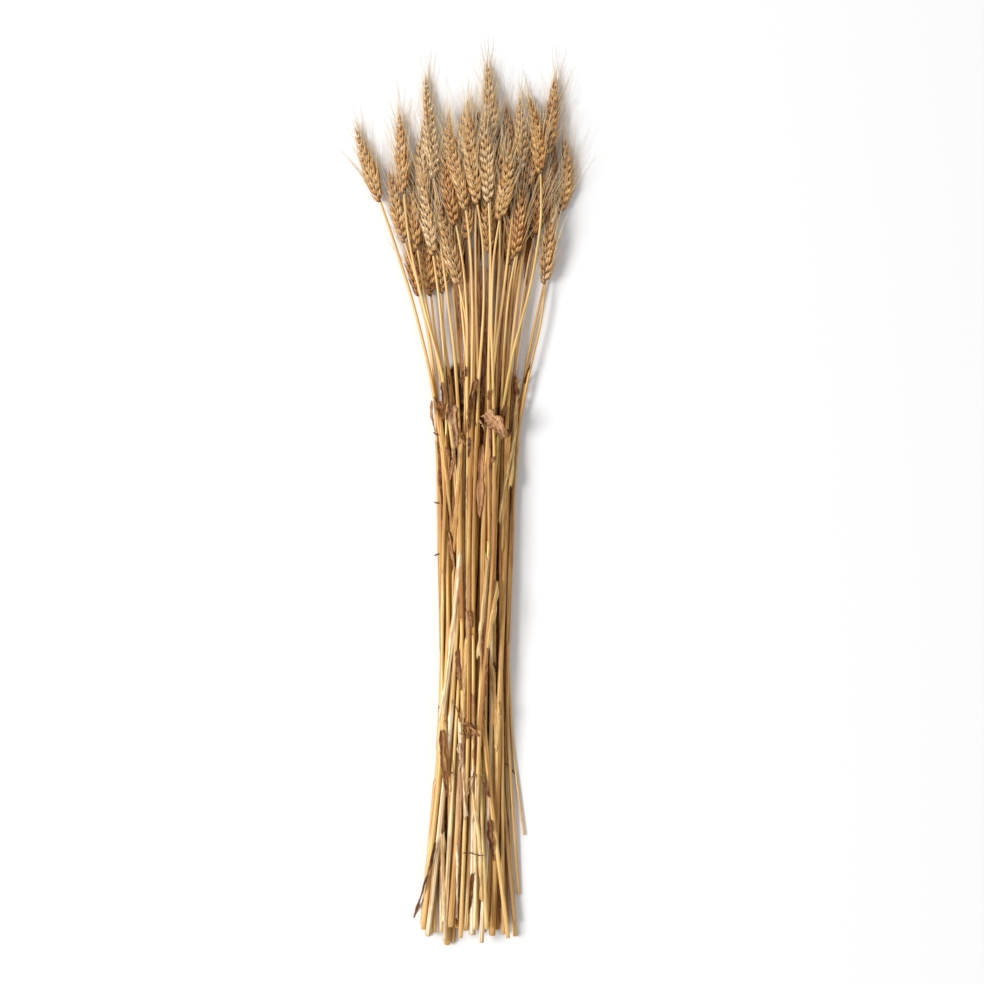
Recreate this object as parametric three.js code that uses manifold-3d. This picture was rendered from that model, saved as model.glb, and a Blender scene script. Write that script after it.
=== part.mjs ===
// A bundle of dried bearded wheat, cut long and laid on a table with its ears together.
//
// Each stalk grew as one piece, so each is one solid: a tapered culm, the ear at its top with its
// spikelets in two rows, and the awns that stand out of the spikelets. Dried leaf scraps that have
// come loose among the culms are solids of their own.
//
// Millimetres. +Z is up, the culms run along Y with the ears at +Y, and the origin is on the table
// under the middle of the bundle.
import * as THREE from "three";
import { mergeVertices } from "three/addons/utils/BufferGeometryUtils.js";
import Module from "manifold-3d";

const wasm = await Module();
wasm.setup();

// ---- Driving dimensions ----
const CUT_Y = -322; // where most culms were cut
const CULM_BASE_R = 1.95; // culm with its dried sheath, at the cut end
const CULM_NECK_R = 1.0; // bare straw just under the ear
const NECK_RUN = 24; // how far a culm runs in line with its ear below it
const SIDES = 6; // round a culm and round an ear
const CULM_STEPS = 9;
const CULM_SPREAD = 0.16; // culms differ in thickness by this share
const KNOT_SWELL = 1.14; // a culm's joint against the straw beside it
const KNOT_HALF = 2.2;
const KNOT_STEPS = [1, 5]; // the culm stations that may carry the joint
const EAR_HALF_WIDTH = 5.3; // with the spikelets' tips
const EAR_STEPS = 3;
const SPIKELET_PITCH = 5.2; // from a spikelet to the next one, on the ear's other side
const UNDER_PITCH = 7.2; // on the ears underneath
const SPIKELET_OUT = 5.1; // its tip from the middle of the ear
const SPIKELET_UP = 5.8; // its tip above its root
const SPIKELET_BULGE = 3.2; // half the ear's thickness over a spikelet
const NOTCH_OUT = 2.8; // the ear's half width between two spikelets
const NOTCH_BULGE = 2.5;
const AWN_LENGTH = 42; // low on the ear; the top ones are shorter by AWN_LOSS
const AWN_LOSS = 0.36;
const AWN_R = 0.5; // at its root, from where it tapers to a point
const AWNLESS = 3; // one spikelet in this many bears no awn
const TIP_R = 0.4; // the blunt point of an ear
const AWN_SPREAD = THREE.MathUtils.degToRad(18);
const CLEARANCE = 0.42; // between two stalks that lie on each other
const FLAT_DEPTH = 0.15; // how far the lowest culms are flattened where they lie on the table

// The bundle's half width and middle in plan, measured at these distances along it.
const BAND_Y = [-322, -220, -150, -45, 50, 90, 150];
const BAND_HALF = [35, 30, 25.5, 25, 30, 33, 42];
const BAND_MIDDLE = [-5, 0, -1, 0, 1, 2, 3];

// The ears on top of the bundle, left to right: where the ear joins its culm, its length, its lean
// from +Y in degrees (positive to the right), the layer it lies in, 0 on the table, and the cut end of
// a culm that was cut short.
const TOP_EARS = [
  { x: -70, y: 221, length: 58, lean: -20, layer: 2 },
  { x: -52, y: 224, length: 64, lean: -4, layer: 3 },
  { x: -48, y: 189, length: 57, lean: -17, layer: 1 },
  { x: -30, y: 236, length: 77, lean: -6, layer: 4 },
  { x: -31, y: 179, length: 60, lean: -8, layer: 2 },
  { x: -8, y: 209, length: 77, lean: -7, layer: 4 },
  { x: -13, y: 201, length: 60, lean: -10, layer: 2 },
  { x: -10, y: 160, length: 60, lean: -12, layer: 1 },
  { x: 2, y: 217, length: 69, lean: -8, layer: 3 },
  { x: 0, y: 243, length: 52, lean: -5, layer: 1 },
  { x: 9, y: 219, length: 63, lean: -3, layer: 4 },
  { x: 10, y: 259, length: 63, lean: -1, layer: 3 },
  { x: 15, y: 206, length: 53, lean: 8, layer: 4 },
  { x: 21, y: 237, length: 54, lean: 2, layer: 1 },
  { x: 31, y: 239, length: 58, lean: 1, layer: 4 },
  { x: 25, y: 179, length: 52, lean: 9, layer: 2 },
  { x: 43, y: 237, length: 61, lean: -4, layer: 3 },
  { x: 38, y: 194, length: 48, lean: 9, layer: 1 },
  { x: 50, y: 253, length: 61, lean: 9, layer: 3 },
  { x: 55, y: 213, length: 56, lean: 8, layer: 2, cut: [35.5, -248] },
  { x: 50, y: 159, length: 58, lean: 4, layer: 3, cut: [31, -292] },
];
const UNDER_EARS = 21; // ears under those, placed by rule
const UNDER_EAR_Y = [150, 232];
const UNDER_EAR_HALF_SPREAD = 46;

// ---- A seeded draw ----
let seed = 20406;
function draw(low = 0, high = 1) {
  seed = (seed + 0x6d2b79f5) | 0;
  let t = Math.imul(seed ^ (seed >>> 15), 1 | seed);
  t = (t + Math.imul(t ^ (t >>> 7), 61 | t)) ^ t;
  return low + (((t ^ (t >>> 14)) >>> 0) / 4294967296) * (high - low);
}

// ---- Where each stalk runs, seen from above ----
function along(table, y) {
  let k = 0;
  while (k < BAND_Y.length - 2 && y > BAND_Y[k + 1]) k++;
  const share = (y - BAND_Y[k]) / (BAND_Y[k + 1] - BAND_Y[k]);
  return table[k] + share * (table[k + 1] - table[k]);
}

function underEars() {
  return Array.from({ length: UNDER_EARS }, (_, k) => {
    const across = ((k + 0.5) / UNDER_EARS) * 2 - 1;
    return {
      x: across * UNDER_EAR_HALF_SPREAD + draw(-5, 5),
      y: draw(...UNDER_EAR_Y),
      length: draw(50, 66),
      lean: across * 11 + draw(-5, 5),
      layer: k % 3 === 0 ? 1 : 0,
      pitch: UNDER_PITCH,
    };
  });
}

function stalkFrom(ear) {
  const size = 1 + draw(-CULM_SPREAD, CULM_SPREAD);
  const rank = THREE.MathUtils.clamp(ear.x / along(BAND_HALF, 150) / (1 + (ear.y - 150) / 130), -1, 1);
  const wander = () => THREE.MathUtils.clamp(rank + draw(-0.4, 0.4), -0.96, 0.96);
  const at = (y, where) => new THREE.Vector3(along(BAND_MIDDLE, y) + where * along(BAND_HALF, y), y, 0);
  const cut = CUT_Y + draw(-7, 10) + (draw() < 0.15 ? draw(10, 40) : 0);
  const waist = wander();
  const neck = new THREE.Vector3(ear.x, ear.y, 0);
  const lean = THREE.MathUtils.degToRad(ear.lean);
  const earAxis = new THREE.Vector3(Math.sin(lean), Math.cos(lean), 0);
  const foot = ear.cut ? new THREE.Vector3(...ear.cut, 0) : at(cut, wander());
  const low = at(-150, ear.cut ? 0.9 : (waist + wander()) / 2);
  const high = at(72, (waist + 2 * rank) / 3);
  const below = neck.clone().addScaledVector(earAxis, -NECK_RUN);
  const path = new THREE.CatmullRomCurve3([foot, low, at(-45, waist), high, below, neck], false, "chordal");
  const climb = (k) => 1 - (1 - Math.min(k / CULM_STEPS, 1)) ** 1.3; // closer stations near the ear
  const points = Array.from({ length: CULM_STEPS + 1 }, (_, k) => path.getPointAt(climb(k)));
  for (let k = 1; k <= EAR_STEPS; k++)
    points.push(neck.clone().addScaledVector(earAxis, (ear.length * k) / EAR_STEPS));
  const radii = points.map((_, k) => {
    return size * THREE.MathUtils.lerp(CULM_BASE_R, CULM_NECK_R, climb(k) ** 1.6);
  });
  points.forEach((p, k) => {
    const up = THREE.MathUtils.smoothstep(k, 3, CULM_STEPS);
    p.z = 2.2 + ear.layer * THREE.MathUtils.lerp(4.2, 9.5, up) + up * 3 + draw(0, 0.5);
  });
  const plan = points.map((p) => p.clone());
  const knot = Math.round(draw(...KNOT_STEPS));
  return { points, radii, plan, ear, knot, roll: draw(-0.5, 0.5) };
}

// ---- Letting the stalks settle on the table and on each other ----
const EAR_HULL = [0.75, 1, 0.97, 0.6]; // the ear's half width at its base, thirds and tip, as shares

function pieces(stalks) {
  return stalks.flatMap((stalk, owner) =>
    stalk.points.slice(0, -1).map((_, k) => {
      const inEar = k - CULM_STEPS;
      const ends =
        inEar < 0
          ? [stalk.radii[k], stalk.radii[k + 1]]
          : [EAR_HULL[inEar] * EAR_HALF_WIDTH, EAR_HULL[inEar + 1] * EAR_HALF_WIDTH];
      return { owner, a: stalk.points[k], b: stalk.points[k + 1], ra: ends[0], rb: ends[1] };
    }),
  );
}

// Nearest points of two segments: shares s and t along them, and the vector from one to the other.
const [AB, CD, CA, NORMAL] = Array.from({ length: 4 }, () => new THREE.Vector3());
function nearest(p, q) {
  AB.subVectors(p.b, p.a);
  CD.subVectors(q.b, q.a);
  CA.subVectors(p.a, q.a);
  const a = AB.dot(AB);
  const b = AB.dot(CD);
  const c = CD.dot(CD);
  const d = AB.dot(CA);
  const e = CD.dot(CA);
  const clamp = (v) => Math.min(1, Math.max(0, v));
  const spread = a * c - b * b;
  let s = spread > 1e-9 * a * c ? clamp((b * e - c * d) / spread) : 0.5;
  let t = (b * s + e) / c;
  if (t !== clamp(t)) {
    t = clamp(t);
    s = clamp((b * t - d) / a);
  }
  NORMAL.copy(CA).addScaledVector(AB, s).addScaledVector(CD, -t);
  return { s, t, gap: NORMAL.length() - (p.ra + (p.rb - p.ra) * s) - (q.ra + (q.rb - q.ra) * t) };
}

function near(p, q, reach) {
  for (const axis of ["x", "y", "z"]) {
    const far = reach + Math.max(p.ra, p.rb) + Math.max(q.ra, q.rb);
    if (Math.min(p.a[axis], p.b[axis]) - far > Math.max(q.a[axis], q.b[axis])) return false;
    if (Math.min(q.a[axis], q.b[axis]) - far > Math.max(p.a[axis], p.b[axis])) return false;
  }
  return true;
}

function pushApart(parts) {
  for (let i = 0; i < parts.length; i++)
    for (let j = i + 1; j < parts.length; j++) {
      const [p, q] = [parts[i], parts[j]];
      if (p.owner === q.owner || !near(p, q, CLEARANCE)) continue;
      const { s, t, gap } = nearest(p, q);
      const short = CLEARANCE - gap;
      if (short <= 0) continue;
      if (NORMAL.lengthSq() < 1e-6) NORMAL.set(0, 0, 1);
      NORMAL.normalize();
      const share = (0.5 * short) / (s * s + (1 - s) * (1 - s));
      const other = (0.5 * short) / (t * t + (1 - t) * (1 - t));
      p.a.addScaledVector(NORMAL, share * (1 - s));
      p.b.addScaledVector(NORMAL, share * s);
      q.a.addScaledVector(NORMAL, -other * (1 - t));
      q.b.addScaledVector(NORMAL, -other * t);
    }
}

// Weight draws every stalk down and its own spring holds its bend, while touching pairs push each other
// apart; in the last rounds only the pushing is left, so nothing stays pressed into its neighbour.
const ROUNDS = 640;
function settle(stalks) {
  const parts = pieces(stalks);
  for (let round = 0; round < ROUNDS; round++) {
    const calm = round > ROUNDS - 200;
    const weight = calm ? 0 : round > ROUNDS - 320 ? 0.02 : 0.12;
    for (const stalk of stalks) {
      const { points, plan } = stalk;
      points.forEach((p, k) => {
        const hold = calm ? 0 : 0.03;
        p.x += hold * (plan[k].x - p.x);
        p.y += 2 * hold * (plan[k].y - p.y);
        p.z -= weight;
      });
      const stiff = round > ROUNDS - 110 ? 0 : calm ? 0.05 : 0.3;
      for (let k = 1; k < points.length - 1; k++)
        for (const axis of ["x", "z"]) {
          const wish = (m) => points[m][axis] - plan[m][axis] * (axis === "x" ? 1 : 0);
          points[k][axis] += stiff * ((wish(k - 1) + wish(k + 1)) / 2 - wish(k));
        }
    }
    pushApart(parts);
    for (const p of parts) {
      p.a.z = Math.max(p.a.z, p.ra);
      p.b.z = Math.max(p.b.z, p.rb);
    }
  }
}

// ---- Solids ----
function solid(geometry) {
  const bare = geometry.clone();
  bare.deleteAttribute("normal");
  bare.deleteAttribute("uv");
  const merged = mergeVertices(bare, 1e-4);
  return new wasm.Manifold(
    new wasm.Mesh({
      numProp: 3,
      vertProperties: merged.attributes.position.array,
      triVerts: new Uint32Array(merged.index.array),
    }),
  );
}

function meshOf(manifold, name, material) {
  const { numProp, vertProperties, triVerts } = manifold.getMesh();
  const geometry = new THREE.BufferGeometry();
  const positions = new Float32Array((vertProperties.length / numProp) * 3);
  for (let k = 0; k < positions.length / 3; k++)
    positions.set(vertProperties.subarray(k * numProp, k * numProp + 3), k * 3);
  geometry.setAttribute("position", new THREE.BufferAttribute(positions, 3));
  geometry.setIndex(new THREE.BufferAttribute(triVerts, 1));
  geometry.computeVertexNormals();
  const mesh = new THREE.Mesh(geometry, material);
  mesh.name = name;
  return mesh;
}

// The frame across a stalk at one of its stations: out points along the row of spikelets.
function frameAt(ahead, roll) {
  const out = new THREE.Vector3(ahead.y, -ahead.x, 0).normalize().applyAxisAngle(ahead, roll);
  return { ahead, out, up: new THREE.Vector3().crossVectors(out, ahead) };
}

function roundRing(middle, { out, up }, r) {
  return Array.from({ length: SIDES }, (_, side) => {
    const angle = (side / SIDES) * 2 * Math.PI;
    return middle.clone().addScaledVector(out, Math.cos(angle) * r).addScaledVector(up, -Math.sin(angle) * r);
  });
}

// The stations up a culm, a round one each, and three close ones that swell into its joint.
const ROUNDNESS = 1.07; // puts the flats and corners of the polygon either side of the true round
function culmRings({ points, radii, roll, knot }) {
  return points.slice(0, CULM_STEPS + 1).flatMap((point, k) => {
    const ahead = points[k + 1].clone().sub(points[Math.max(k - 1, 0)]).normalize();
    const frame = frameAt(ahead, roll);
    const r = radii[k] * ROUNDNESS;
    const ring = (shift, swell) => roundRing(point.clone().addScaledVector(ahead, shift), frame, r * swell);
    return k === knot ? [ring(-KNOT_HALF, 1), ring(0, KNOT_SWELL), ring(KNOT_HALF, 1)] : [ring(0, 1)];
  });
}

// The stations up an ear, one to a spikelet. Spikelets stand by turns to its two sides: each rises
// from the notch over the one below it to a tip that overhangs the notch above.
function earRings(stalk) {
  const rachis = new THREE.CatmullRomCurve3(stalk.points.slice(CULM_STEPS));
  const count = Math.round(stalk.ear.length / (stalk.ear.pitch ?? SPIKELET_PITCH));
  const rings = [];
  const tips = [];
  for (let k = 1; k <= count; k++) {
    const climb = k / (count + 1);
    const size = THREE.MathUtils.lerp(0.7, 1, Math.min(1, 4 * climb)) * (1 - 0.68 * climb ** 4);
    const frame = frameAt(rachis.getTangentAt(climb), stalk.roll);
    const turned = k % 2 ? 1 : -1;
    const at = (out, up, ahead) =>
      rachis
        .getPointAt(climb)
        .addScaledVector(frame.out, out * turned * size)
        .addScaledVector(frame.up, up * turned * size)
        .addScaledVector(frame.ahead, ahead * size);
    const ring = [
      at(SPIKELET_OUT, 0, SPIKELET_UP),
      at(2.5, -SPIKELET_BULGE, 2.4),
      at(-1.4, -NOTCH_BULGE, 0),
      at(-NOTCH_OUT, 0, 0),
      at(-1.4, NOTCH_BULGE, 0),
      at(2.5, SPIKELET_BULGE, 2.4),
    ];
    rings.push(turned > 0 ? ring : [...ring.slice(3), ...ring.slice(0, 3)]);
    const out = frame.out.clone().multiplyScalar(turned);
    const foot = at(SPIKELET_OUT - 1.3, 0, SPIKELET_UP - 1.5);
    tips.push({ ahead: frame.ahead, out, climb, place: ring[0], foot });
  }
  rings.push(roundRing(rachis.getPointAt(1), frameAt(rachis.getTangentAt(1), stalk.roll), TIP_R));
  return { rings, tips };
}

// A closed cylinder whose stations are moved onto the given rings.
function loft(rings) {
  const geometry = new THREE.CylinderGeometry(1, 1, 1, SIDES, rings.length - 1);
  const position = geometry.attributes.position;
  const local = new THREE.Vector3();
  for (let k = 0; k < position.count; k++) {
    local.fromBufferAttribute(position, k);
    const ring = rings[Math.round((local.y + 0.5) * (rings.length - 1))];
    const side = Math.round((Math.atan2(local.x, local.z) / (2 * Math.PI)) * SIDES + SIDES) % SIDES;
    const middle = Math.hypot(local.x, local.z) < 0.5;
    const place = middle ? ring[0].clone().lerp(ring[SIDES / 2], 0.5) : ring[side];
    position.setXYZ(k, place.x, place.y, place.z);
  }
  return solid(geometry);
}

// An awn leaves its spikelet's tip close to the ear's line. It is turned until it is clear of the
// other stalks and awns, and is a broken stump, or missing, where there is no room.
const AWN_SHARES = [1, 0.7, 0.4];
const AWN_TRIES = 24;
const TIP_ROOM = 1.1; // between an awn and the other spikelets' tips of its own ear
const REACHED = new THREE.Vector3();
function awnFrom({ ahead, out, place, foot, climb }, tips, owner, parts, awns) {
  for (const share of AWN_SHARES)
    for (let turn = 0; turn < AWN_TRIES; turn++) {
      const open = AWN_SPREAD * draw(0.2, 0.8 + (0.6 * turn) / AWN_TRIES);
      const away = out.clone().applyAxisAngle(ahead, draw(-0.9, 0.9));
      const along = ahead.clone().multiplyScalar(Math.cos(open)).addScaledVector(away, Math.sin(open));
      const length = AWN_LENGTH * (1 - AWN_LOSS * climb) * share * draw(0.85, 1.1);
      const end = foot.clone().addScaledVector(along, length);
      if (end.z < 4 * FLAT_DEPTH) continue;
      const needle = { owner, a: place, b: end, ra: AWN_R, rb: 0 };
      const clear = (other) => !near(needle, other, CLEARANCE) || nearest(needle, other).gap > CLEARANCE;
      if (!parts.every((other) => other.owner === owner || clear(other)) || !awns.every(clear)) continue;
      const line = new THREE.Line3(foot, end);
      const room = (tip) => line.closestPointToPoint(tip.place, true, REACHED).distanceTo(tip.place);
      if (tips.some((tip) => tip.place !== place && room(tip) < TIP_ROOM)) continue;
      awns.push(needle);
      const geometry = new THREE.ConeGeometry(AWN_R, length, 3).translate(0, length / 2, 0);
      geometry.applyQuaternion(new THREE.Quaternion().setFromUnitVectors(new THREE.Vector3(0, 1, 0), along));
      return solid(geometry.translate(foot.x, foot.y, foot.z));
    }
  return null;
}

function stalkSolid(stalk, owner, parts, awns) {
  const { rings, tips } = earRings(stalk);
  let whole = loft([...culmRings(stalk), ...rings]);
  tips.forEach((tip, k) => {
    const awn = k % AWNLESS === AWNLESS - 1 ? null : awnFrom(tip, tips, owner, parts, awns);
    if (awn) whole = whole.add(awn);
  });
  return whole;
}

// ---- Dried leaf scraps that lie on the culms ----
const LEAF_THICKNESS = 0.7;
const LEAF_STEPS = 6;
const LEAF_GAP = 0.25;

function topAt(parts, x, y) {
  let top = 0;
  for (const { a, b, ra, rb } of parts) {
    const reach = Math.max(ra, rb);
    if (y < Math.min(a.y, b.y) - reach || y > Math.max(a.y, b.y) + reach) continue;
    const t = THREE.MathUtils.clamp((y - a.y) / (b.y - a.y), 0, 1);
    const across = x - (a.x + (b.x - a.x) * t);
    const r = (ra + (rb - ra) * t) * 1.12;
    if (Math.abs(across) < r) top = Math.max(top, a.z + (b.z - a.z) * t + Math.sqrt(r * r - across * across));
  }
  return top;
}

// A closed blade over rows of points across it, split into triangles alike on both faces.
function blade(rows, thickness) {
  const across = rows[0].length;
  const corners = [];
  const faces = [];
  const id = (row, k, under) => (row * across + k) * 2 + under;
  for (const row of rows)
    for (const p of row) corners.push(p.x, p.y, p.z + thickness / 2, p.x, p.y, p.z - thickness / 2);
  const quad = (a, b, c, d) => faces.push(a, b, c, a, c, d);
  for (let r = 0; r < rows.length - 1; r++)
    for (let k = 0; k < across - 1; k++) {
      quad(id(r, k, 0), id(r, k + 1, 0), id(r + 1, k + 1, 0), id(r + 1, k, 0));
      const [a, b, c, d] = [id(r, k, 1), id(r, k + 1, 1), id(r + 1, k + 1, 1), id(r + 1, k, 1)];
      faces.push(a, c, b, a, d, c);
    }
  for (let r = 0; r < rows.length - 1; r++) {
    quad(id(r, 0, 1), id(r, 0, 0), id(r + 1, 0, 0), id(r + 1, 0, 1));
    quad(id(r, across - 1, 0), id(r, across - 1, 1), id(r + 1, across - 1, 1), id(r + 1, across - 1, 0));
  }
  for (let k = 0; k < across - 1; k++) {
    const end = rows.length - 1;
    quad(id(0, k, 1), id(0, k + 1, 1), id(0, k + 1, 0), id(0, k, 0));
    quad(id(end, k, 0), id(end, k + 1, 0), id(end, k + 1, 1), id(end, k, 1));
  }
  const geometry = new THREE.BufferGeometry();
  geometry.setAttribute("position", new THREE.Float32BufferAttribute(corners, 3));
  geometry.setIndex(faces);
  return solid(geometry);
}

// heading and curl are in degrees from +Y; the blade is widest near its root and narrows to its tip.
function leaf({ x, y, heading, curl, length, width }, parts) {
  const step = length / LEAF_STEPS;
  const rows = [];
  const place = new THREE.Vector2(x, y);
  for (let k = 0; k <= LEAF_STEPS; k++) {
    const share = k / LEAF_STEPS;
    const turn = THREE.MathUtils.degToRad(heading + curl * share);
    const half = (width / 2) * (0.55 + 0.9 * share - 1.25 * share * share);
    const side = new THREE.Vector2(Math.cos(turn), -Math.sin(turn));
    let top = 0;
    for (const s of [-1, -0.5, 0, 0.5, 1])
      for (const d of [-1, -0.5, 0, 0.5, 1]) {
        const px = place.x + side.x * half * s + Math.sin(turn) * step * d;
        const py = place.y + side.y * half * s + Math.cos(turn) * step * d;
        top = Math.max(top, topAt(parts, px, py));
      }
    const z = top + LEAF_GAP + LEAF_THICKNESS / 2;
    const fold = 0.3 * half;
    rows.push([-1, 0, 1].map((s) => {
      const [px, py] = [place.x + side.x * half * s, place.y + side.y * half * s];
      return new THREE.Vector3(px, py, z + fold * s * s);
    }));
    place.x += Math.sin(turn) * step;
    place.y += Math.cos(turn) * step;
  }
  return blade(rows, LEAF_THICKNESS);
}

const LEAVES = [
  { x: -25, y: 88, heading: 178, curl: -5, length: 27, width: 5 },
  { x: -17.5, y: 72, heading: 175, curl: 2, length: 36, width: 6 },
  { x: -1, y: 90, heading: 188, curl: 4, length: 46, width: 7 },
  { x: 7, y: 66, heading: 150, curl: -8, length: 26, width: 8 },
  { x: 29, y: 90, heading: 170, curl: 6, length: 22, width: 5 },
  { x: -33, y: 74, heading: 172, curl: 4, length: 25, width: 4.5 },
  { x: -26, y: -166, heading: 174, curl: 4, length: 56, width: 5.5 },
  { x: -10, y: -163, heading: 140, curl: -30, length: 17, width: 6 },
  { x: -28, y: -248, heading: 200, curl: -10, length: 68, width: 7 },
  { x: 9, y: -233, heading: 172, curl: 4, length: 34, width: 6.5 },
  { x: -11, y: -259, heading: 100, curl: -12, length: 17, width: 4 },
];

// ---- The bundle ----
const straws = ["#cfa763", "#dab778", "#bf9552"].map(
  (color) => new THREE.MeshStandardMaterial({ color, roughness: 0.55, metalness: 0 }),
);
const driedLeaf = new THREE.MeshStandardMaterial({ color: "#8f6236", roughness: 0.8, metalness: 0 });

const number = (k) => String(k + 1).padStart(2, "0");
const stalks = [...underEars(), ...TOP_EARS].map(stalkFrom);
settle(stalks);
const parts = pieces(stalks);
const awns = [];
const table = solid(new THREE.BoxGeometry(2000, 2000, 20).translate(0, 0, FLAT_DEPTH - 10));
const meshes = stalks.map((stalk, k) => {
  const whole = stalkSolid(stalk, k, parts, awns).subtract(table);
  return meshOf(whole, `stalk_${number(k)}`, straws[k % straws.length]);
});
LEAVES.forEach((shape, k) => meshes.push(meshOf(leaf(shape, parts), `leaf_${number(k)}`, driedLeaf)));

const bundle = new THREE.Group();
bundle.name = "wheat_bundle";
bundle.add(...meshes);
const box = new THREE.Box3().setFromObject(bundle);
const middle = box.getCenter(new THREE.Vector3());
bundle.position.set(-middle.x, -middle.y, -box.min.z);
export default bundle;
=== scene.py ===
# A bundle of dried bearded wheat lying on a pale table, seen from straight above.
import math
import random

import bpy
import numpy as np
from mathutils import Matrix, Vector, noise


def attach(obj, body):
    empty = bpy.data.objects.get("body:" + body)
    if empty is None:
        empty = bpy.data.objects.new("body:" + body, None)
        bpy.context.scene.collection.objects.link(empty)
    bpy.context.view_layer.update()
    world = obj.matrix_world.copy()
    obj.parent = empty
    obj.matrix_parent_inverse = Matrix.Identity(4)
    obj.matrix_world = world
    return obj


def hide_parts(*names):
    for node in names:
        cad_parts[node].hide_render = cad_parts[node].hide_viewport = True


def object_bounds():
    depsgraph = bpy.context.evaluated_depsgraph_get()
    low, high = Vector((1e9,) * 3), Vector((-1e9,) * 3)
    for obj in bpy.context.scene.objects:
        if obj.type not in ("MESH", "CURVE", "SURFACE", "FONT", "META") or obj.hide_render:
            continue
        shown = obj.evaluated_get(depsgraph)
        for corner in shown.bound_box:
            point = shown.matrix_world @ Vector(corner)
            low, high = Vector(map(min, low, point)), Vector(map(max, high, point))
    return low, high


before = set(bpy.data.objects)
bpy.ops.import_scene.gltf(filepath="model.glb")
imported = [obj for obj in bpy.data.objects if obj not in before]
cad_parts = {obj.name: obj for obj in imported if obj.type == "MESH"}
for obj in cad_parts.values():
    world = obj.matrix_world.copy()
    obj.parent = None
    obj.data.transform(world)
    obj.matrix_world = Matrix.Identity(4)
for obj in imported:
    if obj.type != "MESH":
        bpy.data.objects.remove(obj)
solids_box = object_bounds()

MM = 0.001

# ---- The line of each stalk ----
# A cut stalk lies where its solid lies: its line is walked from the cut end through the straw and the
# ear by the middles of the solid's cross-sections, which also give the straw's thickness, the place
# of its joint and the way the ear's two rows face.
SLICE = 2 * MM
EAR_SHARE = 0.5  # a section this large against the ear's fattest belongs to the ear
EAR_TIP_AREA = 3e-6  # smaller sections, in square metres, are awns past the ear's tip
TIP_REST = 1.5 * MM  # from the last section of the ear to its tip
NECK_SEARCH = 12  # slices under the ear, the thinnest of which is its neck
ENDS = 8  # slices at each end of the straw that hold no joint
BENDS, SWELLINGS = 5, 12  # slices over which the line's bends and the straw's swellings are evened out
HEXAGON = 2.975  # area of the solid's six-sided section over the square of the straw's radius


def slices(solid):
    """Of each cross-section: place along Y, middle (x, z), area, and two terms that give its long axis."""
    mesh = solid.data
    mesh.calc_loop_triangles()
    places = np.empty(len(mesh.vertices) * 3)
    mesh.vertices.foreach_get("co", places)
    triangles = np.empty(len(mesh.loop_triangles) * 3, dtype=np.int32)
    mesh.loop_triangles.foreach_get("vertices", triangles)
    corners = places.reshape(-1, 3)[triangles].reshape(-1, 3, 3)
    rows = []
    for y in np.arange(corners[:, :, 1].min() + SLICE / 4, corners[:, :, 1].max(), SLICE):
        above = corners[:, :, 1] > y
        cut = above.any(axis=1) & ~above.all(axis=1)
        # Each triangle cut gives one edge of the section, between its sides that rise and fall through it.
        above, faces = above[cut], corners[cut]
        rise, fall = np.zeros((len(faces), 2)), np.zeros((len(faces), 2))
        for k in range(3):
            a, b = faces[:, k], faces[:, (k + 1) % 3]
            low, high = above[:, k], above[:, (k + 1) % 3]
            span = np.where(low != high, b[:, 1] - a[:, 1], 1)
            point = (a + (b - a) * ((y - a[:, 1]) / span)[:, None])[:, [0, 2]]
            rise[~low & high] = point[~low & high]
            fall[low & ~high] = point[low & ~high]
        cross = rise[:, 0] * fall[:, 1] - fall[:, 0] * rise[:, 1]
        area = cross.sum() / 2
        if abs(area) < 1e-9:
            continue
        middle = ((rise + fall) * cross[:, None]).sum(axis=0) / (6 * area)
        spread = ((rise**2 + rise * fall + fall**2) * cross[:, None]).sum(axis=0) / (12 * area) - middle**2
        mixed = rise[:, 0] * fall[:, 1] + fall[:, 0] * rise[:, 1]
        mixed += 2 * rise[:, 0] * rise[:, 1] + 2 * fall[:, 0] * fall[:, 1]
        skew = (mixed * cross).sum() / (24 * area) - middle[0] * middle[1]
        rows.append((y, *middle, abs(area), spread[0] - spread[1], 2 * skew))
    return np.array(rows)


def smoothed(values, width):
    """A run of values with its kinks rounded over that many slices, its two ends kept."""
    reach = int(3 * width)
    bell = np.exp(-0.5 * (np.arange(-reach, reach + 1) / width) ** 2)
    before = 2 * values[0] - values[reach:0:-1]
    after = 2 * values[-1] - values[-2 : -reach - 2 : -1]
    return np.convolve(np.concatenate([before, values, after]), bell / bell.sum(), "valid")


def unit(vectors):
    """The same directions, each of length 1."""
    return vectors / np.linalg.norm(vectors, axis=-1, keepdims=True)


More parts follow.
